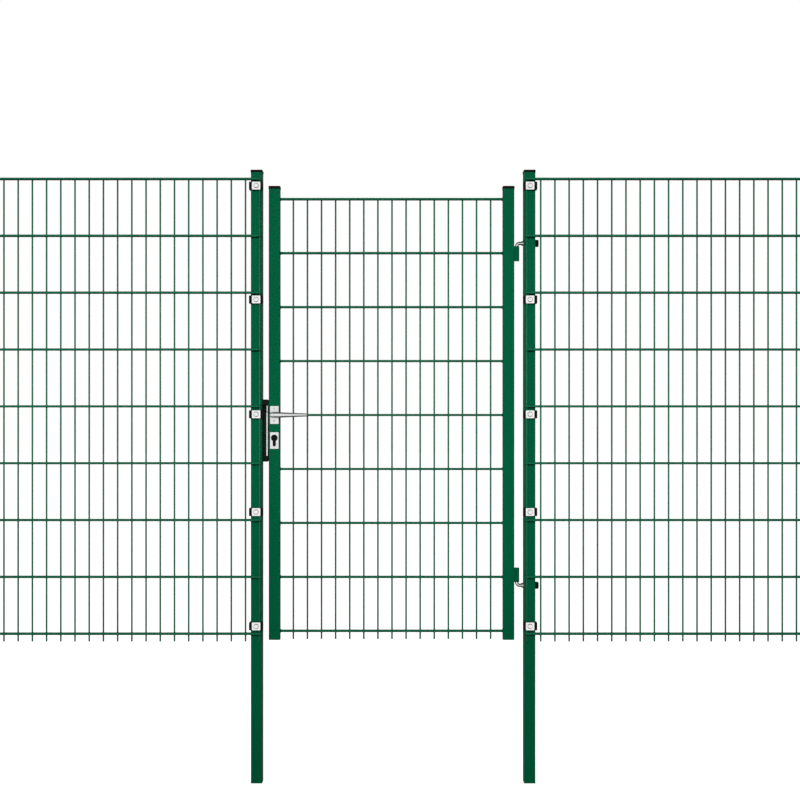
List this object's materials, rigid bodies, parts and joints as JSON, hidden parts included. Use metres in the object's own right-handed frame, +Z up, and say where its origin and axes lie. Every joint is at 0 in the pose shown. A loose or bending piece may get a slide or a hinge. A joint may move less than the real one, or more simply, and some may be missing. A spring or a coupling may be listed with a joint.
{
  "type": "pedestrian mesh fence gate",
  "caption": "Single-leaf mesh fence gate: two posts with stubs of double-bar fence mat clamped to them, and a hinged, lockable leaf with lever handle and latch.",
  "frame": {"origin": "midway between the two posts, on the middle plane of the leaf, at the level of the posts' buried feet", "axes": "+X along the fence from the lock post to the hinge post, -Y towards the front (the side that the mats are clamped on and the leaf opens to), +Z up"},
  "size_m": [2.9472, 0.132, 2.1641],
  "materials": {
    "green_post": "green powder coat, semi-gloss",
    "green_mat": "green powder coat on wire, semi-gloss",
    "green_leaf": "green powder coat, semi-gloss",
    "black_cap": "moulded black plastic",
    "black_nut_cap": "moulded black plastic, smooth",
    "black_clamp": "moulded black nylon",
    "black_keep": "moulded black nylon",
    "stainless_plate": "stainless steel, fine brushed",
    "stainless_screw": "stainless steel, turned",
    "stainless_bolt": "stainless steel, ground",
    "zinc_bolt": "bright zinc plate",
    "zinc_case": "zinc plated sheet",
    "alu_lever": "satin anodised aluminium",
    "spring_steel": "spring wire",
    "black_rubber": "matt rubber"
  },
  "bodies": {
    "posts": {"lock_post": "green_post", "hinge_post": "green_post", "post_caps": "black_cap", "left_mat_bars": "green_mat", "left_mat_uprights": "green_mat", "right_mat_bars": "green_mat", "right_mat_uprights": "green_mat", "clamp_saddles": "black_clamp", "clamp_plates": "stainless_plate", "clamp_screws": "stainless_screw", "clamp_rivet_nuts": "zinc_bolt", "hinge_hook_top": "zinc_bolt", "hinge_hook_bottom": "zinc_bolt", "hinge_flared_nuts": "zinc_bolt", "hinge_washers": "zinc_bolt", "hinge_outer_nuts": "zinc_bolt", "hinge_nut_caps": "black_nut_cap", "keep_body": "black_keep", "keep_stop": "black_keep", "keep_strike_plate": "stainless_plate", "keep_stop_buffers": "black_rubber", "keep_screws": "stainless_screw", "keep_rivet_nuts": "zinc_bolt"},
    "leaf": {"leaf_lock_stile": "green_leaf", "leaf_hinge_stile": "green_leaf", "leaf_stile_caps": "black_cap", "leaf_mat_bars": "green_mat", "leaf_mat_uprights": "green_mat", "hinge_tube_top": "green_leaf", "hinge_tube_bottom": "green_leaf", "lock_case": "zinc_case", "lock_case_cover": "zinc_case", "lock_forend": "stainless_plate", "forend_screws": "stainless_screw", "front_handle_plate": "stainless_plate", "rear_handle_plate": "stainless_plate", "front_keyhole_plate": "stainless_plate", "rear_keyhole_plate": "stainless_plate", "handle_plate_screws": "stainless_screw", "handle_plate_sleeve_nuts": "stainless_screw", "keyhole_plate_screws": "stainless_screw", "keyhole_blanks": "black_cap", "latch_spring": "spring_steel"},
    "handle": {"front_lever": "alu_lever", "rear_lever": "alu_lever", "spindle": "zinc_case", "follower": "zinc_case", "lever_grub_screws": "stainless_screw"},
    "latch": {"latch_bolt": "stainless_bolt"},
    "deadbolt": {"deadbolt": "stainless_bolt"}
  },
  "joints": [
    {"name": "leaf_swing", "type": "hinge", "parent": "posts", "child": "leaf", "pos_m": [0.4379, -0.01, 1.3], "axis": [0, 0, 1], "range_deg": [0, 100]},
    {"name": "handle_turn", "type": "hinge", "parent": "leaf", "child": "handle", "pos_m": [-0.4202, 0, 1.2992], "axis": [0, 1, 0], "range_deg": [0, 40], "stiffness_Nm_per_rad": 1.2, "springref_deg": -28.65},
    {"name": "latch_slide", "type": "slide", "parent": "leaf", "child": "latch", "axis": [1, 0, 0], "range_m": [0, 0.011], "stiffness_N_per_m": 200, "springref_m": -0.02},
    {"name": "deadbolt_throw", "type": "slide", "parent": "leaf", "child": "deadbolt", "axis": [-1, 0, 0], "range_m": [0, 0.017]}
  ],
  "couplings": [
    {"joint": "latch_slide", "follows": "handle_turn", "m_per_rad": 0.015756}
  ]
}
